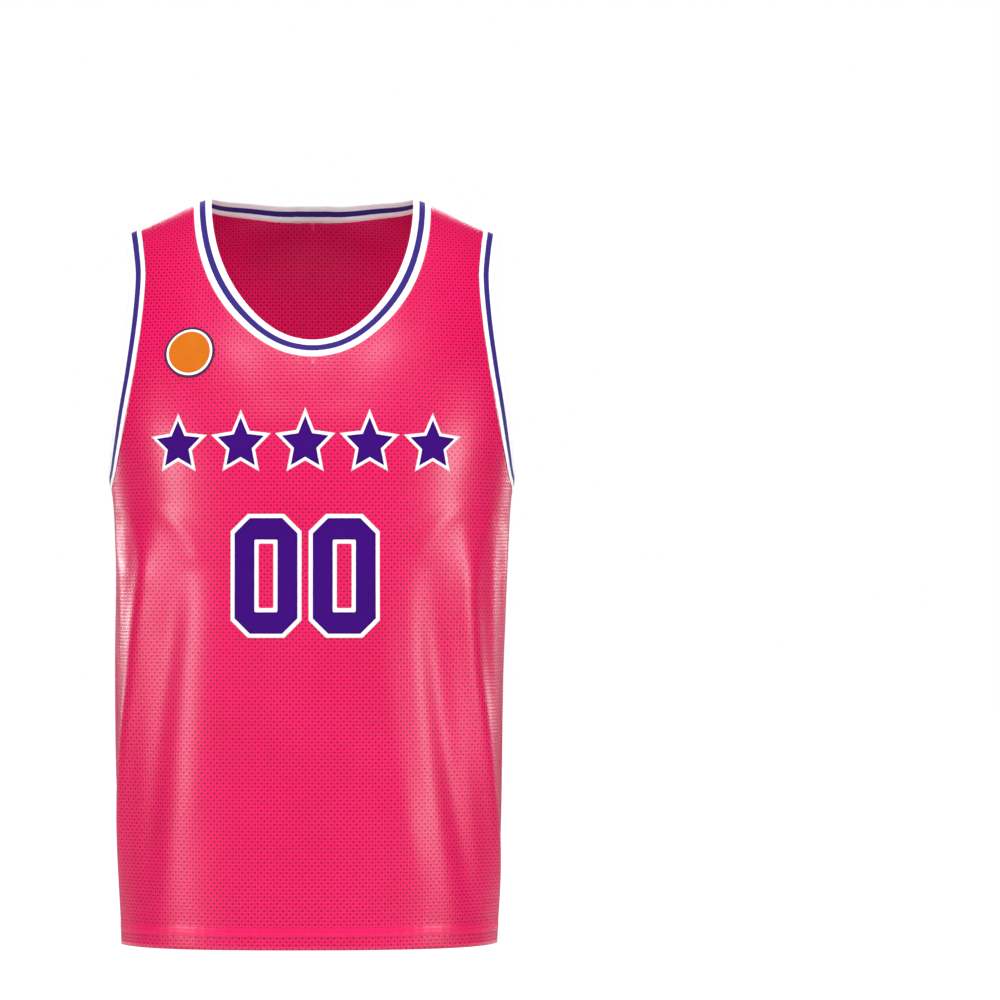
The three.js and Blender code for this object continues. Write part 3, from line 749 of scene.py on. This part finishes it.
def add_panel(face):
    left, right = half_panel(face, 1), half_panel(face, -1)
    rows, columns = left[0].shape
    left_numbers = np.arange(rows * columns).reshape(rows, columns)
    right_numbers = left_numbers + rows * columns
    right_numbers[NECK_ROWS:, 0] = left_numbers[NECK_ROWS:, 0]
    across, root, seam_off = (
        np.concatenate([a.ravel(), b.ravel()]) for a, b in zip(left, right)
    )
    faces = np.concatenate([grid_faces(left_numbers), grid_faces(right_numbers)[:, ::-1]])
    used, numbers = np.unique(faces, return_inverse=True)
    faces = numbers.reshape(-1, 4)
    across, root, seam_off = (x[used] for x in (across, root, seam_off))
    height = pattern_heights(face, across, root)
    ridge_off = pattern_heights(face, across, np.full(root.shape, 0.0005)) - height

    lift = np.zeros(len(across))
    for off in (seam_off, ridge_off):
        lift -= SEAM_ROLL * np.exp(-((off / SEAM_ROLL_WIDTH) ** 2))
    seam, hem = SEAM_PUCKER, HEM_PUCKER
    wander = seam["wander"] * np.sin(height / seam["wander_wave"])
    pucker = np.sin(height / seam["wave"] + wander) * np.exp(-seam_off / seam["reach"])
    wave = np.sin(across / hem["wave"] + np.sin(across / hem["wander_wave"]))
    pucker += hem["share"] * wave * np.exp(-np.abs(height - hem["middle"]) / hem["reach"])
    lift += PUCKER_HEIGHT * pucker
    lift += HEM_STEP["height"] * smooth_step((HEM_STEP["top"] - height) / HEM_STEP["width"])
    groove = ((height - HEM_STITCH_HEIGHT) / HEM_GROOVE["width"]) ** 2
    lift -= HEM_GROOVE["depth"] * np.exp(-groove)
    uvs = np.stack([across + CUT_SHIFT, height], axis=1)
    panel = shell(face + "_panel", across, root, faces, uvs, MESH_KNIT, lift, lift - CLOTH)
    finish_piece(panel, face + "_panel")
    return panel


def finish_piece(piece, node):
    piece.name = node + "_cloth"
    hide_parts(node)


# Bands

BAND_COLUMNS = 22
NECK_BAND_TURNS = 56
ARMHOLE_BAND_ROWS = 84

# Widths of the white, violet and white stripes, from the seam to the open edge
NECK_STRIPES = (5.9, 5.7, 5.9)
ARMHOLE_STRIPES = (4.2, 5.9, 7.4)

# Puckers of a band beside its seam
BAND_RIPPLE = {"height": 0.12, "wave": 2.3, "wander_wave": 31, "reach": 4}


def add_band(node, seam_across, seam_root, edge_across, edge_root, stripes):
    """A ring of knitted band from its seam on the panel out to its open edge."""
    t = np.linspace(0, 1, BAND_COLUMNS + 1)[None, :]
    across = seam_across[:, None] * (1 - t) + edge_across[:, None] * t
    root = seam_root[:, None] * (1 - t) + edge_root[:, None] * t
    rows, columns = across.shape
    numbers = np.arange(rows * columns).reshape(rows, columns)
    middle = cloth_points(across[:, columns // 2], root[:, columns // 2])
    steps = np.linalg.norm(np.roll(middle, -1, axis=0) - middle, axis=1)
    along = np.concatenate([[0], np.cumsum(steps)[:-1]])[:, None]
    bounds = np.concatenate([[0], np.cumsum(stripes)])
    stripe = np.interp(t * BAND_WIDTH, bounds, [0, 1, 2, 3])
    profile = np.maximum(1 - np.abs(2 * t - 1) ** 6, 0.04) ** 0.5
    profile = np.broadcast_to(profile, across.shape)
    wave = np.sin(along / BAND_RIPPLE["wave"] + np.sin(along / BAND_RIPPLE["wander_wave"]))
    ripple = BAND_RIPPLE["height"] * wave * np.exp(-t * BAND_WIDTH / BAND_RIPPLE["reach"])
    outer = BAND_MIDDLE + BAND_HALF_WALL * profile + ripple
    inner = BAND_MIDDLE - BAND_HALF_WALL * profile
    u = np.broadcast_to(along, across.shape)
    v = np.broadcast_to(stripe, across.shape)
    uvs = np.stack([u.ravel(), v.ravel()], axis=1)
    faces = grid_faces(numbers, closed=True)
    band = shell(
        node, across.ravel(), root.ravel(), faces, uvs, STRIPED_KNIT, outer.ravel(), inner.ravel()
    )
    finish_piece(band, node)
    return band


def add_neck_band():
    turns = math.pi / 2 * np.linspace(0, 1, NECK_BAND_TURNS) ** NECK_CROWDING
    parts = [
        ("front", -1, turns[:-1]), ("front", 1, turns[::-1]),
        ("back", 1, turns[1:-1]), ("back", -1, turns[:0:-1]),
    ]
    seam = [neck_places(face, sign, NECK_SEAM, turn) for face, sign, turn in parts]
    edge = [neck_places(face, sign, NECK_EDGE, turn) for face, sign, turn in parts]
    rows = [np.concatenate([part[k] for part in line]) for line in (seam, edge) for k in (0, 1)]
    return add_band("neck_band", *rows, NECK_STRIPES)


def add_armhole_band(sign):
    share = np.sin(math.pi / 2 * np.linspace(0, 1, ARMHOLE_BAND_ROWS)) ** 2
    drops = UNDERARM_DROP * (1 - share)
    across, root = [], []
    for face, wanted in (("front", drops), ("back", drops[::-1][1:-1])):
        across.append(sign * armhole_across(face, sign < 0, wanted))
        root.append(root_of(face, wanted))
    across, root = np.concatenate(across), np.concatenate(root)
    points = cloth_points(across, root)
    normal = cloth_frames(across, root)[2]
    run = np.roll(points, -1, axis=0) - np.roll(points, 1, axis=0)
    step = np.cross(run, normal)
    step *= BAND_WIDTH * sign / np.linalg.norm(step, axis=1, keepdims=True)
    edge_across, edge_root = places_beside(across, root, step)
    name = "armhole_band_" + ("right" if sign < 0 else "left")
    return add_band(name, across, root, edge_across, edge_root, ARMHOLE_STRIPES)


# Sewn-on pieces

def split_outline(corners, spacing):
    """A closed outline with extra points, so that none are further apart than the spacing."""
    points = []
    for start, end in zip(corners, np.roll(corners, -1, axis=0)):
        count = max(1, math.ceil(np.linalg.norm(end - start) / spacing))
        points += [start + (end - start) * k / count for k in range(count)]
    return np.array(points)


def zero_corners(width, height, corner):
    x, z = width / 2, height / 2
    return np.array([
        [x, -z + corner], [x, z - corner], [x - corner, z], [-x + corner, z],
        [-x, z - corner], [-x, -z + corner], [-x + corner, -z], [x - corner, -z],
    ])


def star_corners(radius):
    corner = np.arange(2 * STAR_POINTS)
    turns = math.pi / 2 + math.pi * corner / STAR_POINTS
    reach = radius * np.where(corner % 2, STAR_WAIST, 1)
    return np.stack([reach * np.cos(turns), reach * np.sin(turns)], axis=1)


def disc_corners(radius, count):
    turns = 2 * math.pi * np.arange(count) / count
    return radius * np.stack([np.cos(turns), np.sin(turns)], axis=1)


def outline_lengths(outline):
    steps = np.linalg.norm(np.roll(outline, -1, axis=0) - outline, axis=1)
    return np.concatenate([[0], np.cumsum(steps)[:-1]])


def distance_to_outline(points, outline):
    start, end = outline[None], np.roll(outline, -1, axis=0)[None]
    run = end - start
    t = np.clip(dot(points[:, None] - start, run) / dot(run, run), 0, 1)
    return np.linalg.norm(points[:, None] - start - run * t[..., None], axis=-1).min(axis=1)


def place_on(face, middle, flat):
    return middle[0] + flat[:, 0], root_of(face, middle[1] - flat[:, 1])


def place_on_slope(face, middle, flat):
    """Lays a flat shape by distances over the cloth, where the levels slope near a shoulder."""
    across, root = np.array([middle[0]], float), np.array([root_of(face, middle[1])], float)
    normal = cloth_frames(across, root)[2][0]
    up = np.array([0, 0, 1]) - normal * normal[2]
    up /= np.linalg.norm(up)
    aside = np.cross(up, normal)
    steps = flat[:, :1] * aside + flat[:, 1:] * up
    count = len(flat)
    return places_beside(np.repeat(across, count), np.repeat(root, count), steps)


RING_SHARES = np.array([0, 0.03, 0.07, 0.15, 0.3, 0.5, 0.7, 0.85, 0.93, 0.97, 1])
DISC_SHARES = np.array([0.12, 0.25, 0.4, 0.55, 0.68, 0.8, 0.88, 0.94, 0.97, 1])


def ring_grid(outline, hole):
    """Flat points from the hole out to the outline, their faces, and how far along they lie."""
    share = RING_SHARES[None, :]
    flat = hole[:, None] * (1 - share[..., None]) + outline[:, None] * share[..., None]
    lengths = outline_lengths(hole)[:, None], outline_lengths(outline)[:, None]
    along = np.where(share < 0.5, *lengths)
    numbers = np.arange(flat.shape[0] * flat.shape[1]).reshape(flat.shape[:2])
    off = distance_to_outline(flat.reshape(-1, 2), outline)
    off = np.minimum(off, distance_to_outline(flat.reshape(-1, 2), hole))
    return flat.reshape(-1, 2), grid_faces(numbers, closed=True), along.ravel(), off


def filled_grid(outline):
    """Flat points from a middle point out to the outline, their faces, and how far along they
    lie."""
    flat = outline[:, None] * DISC_SHARES[None, :, None]
    count, columns = flat.shape[:2]
    along = np.broadcast_to(outline_lengths(outline)[:, None], (count, columns))
    numbers = np.arange(count * columns).reshape(count, columns)
    first = numbers[:, 0]
    centre = np.full(count, count * columns)
    fan = np.stack([centre, first, np.roll(first, -1), np.full(count, -1)], axis=1)
    faces = np.concatenate([grid_faces(numbers, closed=True)[:, ::-1], fan])
    flat = np.concatenate([flat.reshape(-1, 2), [[0, 0]]])
    off = distance_to_outline(flat, outline)
    return flat, faces, np.append(along.ravel(), 0), off


def add_twill(node, face, middle, grid, material, foot, lay=place_on):
    flat, faces, along, off = grid
    across, root = lay(face, middle, flat)
    uvs = np.stack([along, off], axis=1)
    rounding = TWILL * np.clip(off / 0.4, 0.45, 1)
    piece = shell(node, across, root, faces, uvs, material, foot + rounding, foot)
    finish_piece(piece, node)
    return piece


def split_pair(outline, hole, spacing):
    """Two outlines with the same number of corners, split alike."""
    outer, inner = [], []
    following = zip(outline, np.roll(outline, -1, axis=0), hole, np.roll(hole, -1, axis=0))
    for start, end, hole_start, hole_end in following:
        count = max(2, math.ceil(np.linalg.norm(end - start) / spacing))
        for k in range(count):
            outer.append(start + (end - start) * k / count)
            inner.append(hole_start + (hole_end - hole_start) * k / count)
    return np.array(outer), np.array(inner)


def zero_grid(size, inset):
    edge = 2 * inset
    corner = size["corner"] - inset / 2
    outline = zero_corners(size["width"] - edge, size["height"] - edge, corner)
    hole = zero_corners(size["hole_width"] + edge, size["hole_height"] + edge, HOLE_CORNER)
    return ring_grid(*split_pair(outline, hole, ZERO_SPACING))


def add_zeros(face):
    size = ZEROS[face]
    pieces = []
    for name, sign in (("right", -1), ("left", 1)):
        middle = (size["middle"] + sign * size["spacing"] / 2, size["drop"])
        node = f"{face}_numeral_{name}_"
        white, violet = zero_grid(size, 0), zero_grid(size, WHITE_EDGE)
        pieces.append(add_twill(node + "white", face, middle, white, WHITE_TWILL, TWILL_FOOT))
        pieces.append(add_twill(node + "violet", face, middle, violet, VIOLET_TWILL, TOP_FOOT))
    return pieces


def star_grid(radius):
    return filled_grid(split_outline(star_corners(radius), STAR_SPACING))


def add_stars(face, stars, has_violet):
    pieces = []
    for k in range(stars["count"]):
        middle = (
            stars["middle"] + (k - (stars["count"] - 1) / 2) * stars["spacing"], stars["drop"],
        )
        node = f"{face}_star_{k + 1}_"
        white = star_grid(stars["radius"])
        pieces.append(add_twill(node + "white", face, middle, white, WHITE_TWILL, TWILL_FOOT))
        if has_violet:
            violet = star_grid(stars["radius"] * STAR_TOP_SHARE)
            pieces.append(add_twill(node + "violet", face, middle, violet, VIOLET_TWILL, TOP_FOOT))
    return pieces


def add_patch():
    middle = (PATCH["across"], PATCH["drop"])
    grid = filled_grid(disc_corners(PATCH["radius"], PATCH["corners"]))
    return add_twill("chest_patch", "front", middle, grid, PATCH_TWILL, TWILL_FOOT, place_on_slope)


panels = {face: add_panel(face) for face in ("front", "back")}
neck_band = add_neck_band()
armhole_bands = [add_armhole_band(sign) for sign in (-1, 1)]
front_sewn = add_zeros("front") + add_stars("front", CHEST_STARS, True) + [add_patch()]
back_sewn = add_zeros("back") + add_stars("back", BACK_STARS, False)

# Floor, light and camera, in metres
FLOOR_Z = -1.3
FLOOR_RADIUS = 30
FLOOR_CORNERS = 96
AMBIENT = 0.12
MIDDLE = (0, 0, -0.34)

# name, place, size, power: each light is aimed at the middle of the jersey
LIGHTS = [
    ("left_soft", (-2.6, -2.2, -0.2), (0.7, 0.5), 31),
    ("right_soft", (2.6, -2.2, -0.2), (0.7, 0.5), 31),
    ("left_back_soft", (-2.4, 2.5, 0.0), (0.8, 0.6), 24),
    ("right_back_soft", (2.4, 2.5, 0.0), (0.8, 0.6), 24),
    ("front_top_soft", (0, -3.2, 2.3), (2.0, 0.8), 94),
    ("back_top_soft", (0, 3.2, 2.3), (2.0, 0.8), 100),
    ("overhead_soft", (0, -0.9, 3.0), (1.6, 1.6), 55),
]

CAMERA_PLACE = (0, -5, -0.36)
CAMERA_TARGET = (0.1877, 0, -0.282)
CAMERA_LENS = 180
SENSOR_WIDTH = 36


def add_floor():
    finish = Finish("pale_floor", Roughness=0.9, Specular_IOR_Level=0.1)
    where = finish.add("ShaderNodeTexCoord", {}).outputs["Object"]
    grain = finish.noise(where, 3.0)
    finish.colour(finish.mix(grain, "#eeeeee", "#f6f6f6"))
    finish.put(finish.shader.inputs["Emission Color"], (1, 1, 1, 1))
    seen = finish.add("ShaderNodeLightPath", {}).outputs["Is Camera Ray"]
    glow = finish.band(seen, 0.0, 1.0, AMBIENT, 1.0)
    finish.put(finish.shader.inputs["Emission Strength"], glow)
    mesh = bpy.data.meshes.new("floor")
    turns = 2 * math.pi * np.arange(FLOOR_CORNERS) / FLOOR_CORNERS
    rim = [(FLOOR_RADIUS * math.cos(turn), FLOOR_RADIUS * math.sin(turn), 0) for turn in turns]
    mesh.from_pydata(rim, [], [tuple(range(FLOOR_CORNERS))])
    mesh.materials.append(finish.material)
    floor = bpy.data.objects.new("floor", mesh)
    floor.location.z = FLOOR_Z
    bpy.context.scene.collection.objects.link(floor)


def add_light(name, place, size, power):
    light = bpy.data.lights.new(name, "AREA")
    light.shape = "RECTANGLE"
    light.size, light.size_y = size
    light.energy = power
    holder = bpy.data.objects.new(name, light)
    holder.location = place
    direction = Vector(MIDDLE) - Vector(place)
    holder.rotation_euler = direction.to_track_quat("-Z", "Y").to_euler()
    bpy.context.scene.collection.objects.link(holder)


add_floor()
for light in LIGHTS:
    add_light(*light)

world = bpy.data.worlds.new("white_studio")
world.use_nodes = True
background = world.node_tree.nodes["Background"]
background.inputs["Color"].default_value = (1, 1, 1, 1)
seen = world.node_tree.nodes.new("ShaderNodeLightPath").outputs["Is Camera Ray"]
strength = world.node_tree.nodes.new("ShaderNodeMapRange")
strength.inputs["To Min"].default_value = AMBIENT
strength.inputs["To Max"].default_value = 1.0
world.node_tree.links.new(seen, strength.inputs["Value"])
world.node_tree.links.new(strength.outputs["Result"], background.inputs["Strength"])
bpy.context.scene.world = world
bpy.context.scene.view_settings.view_transform = "Standard"

camera_data = bpy.data.cameras.new("photo_camera")
camera_data.lens = CAMERA_LENS
camera_data.sensor_width = SENSOR_WIDTH
camera_data.clip_end = 100
camera = bpy.data.objects.new("photo_camera", camera_data)
camera.location = CAMERA_PLACE
aim = Vector(CAMERA_TARGET) - camera.location
camera.rotation_euler = aim.to_track_quat("-Z", "Y").to_euler()
bpy.context.scene.collection.objects.link(camera)
bpy.context.scene.camera = camera
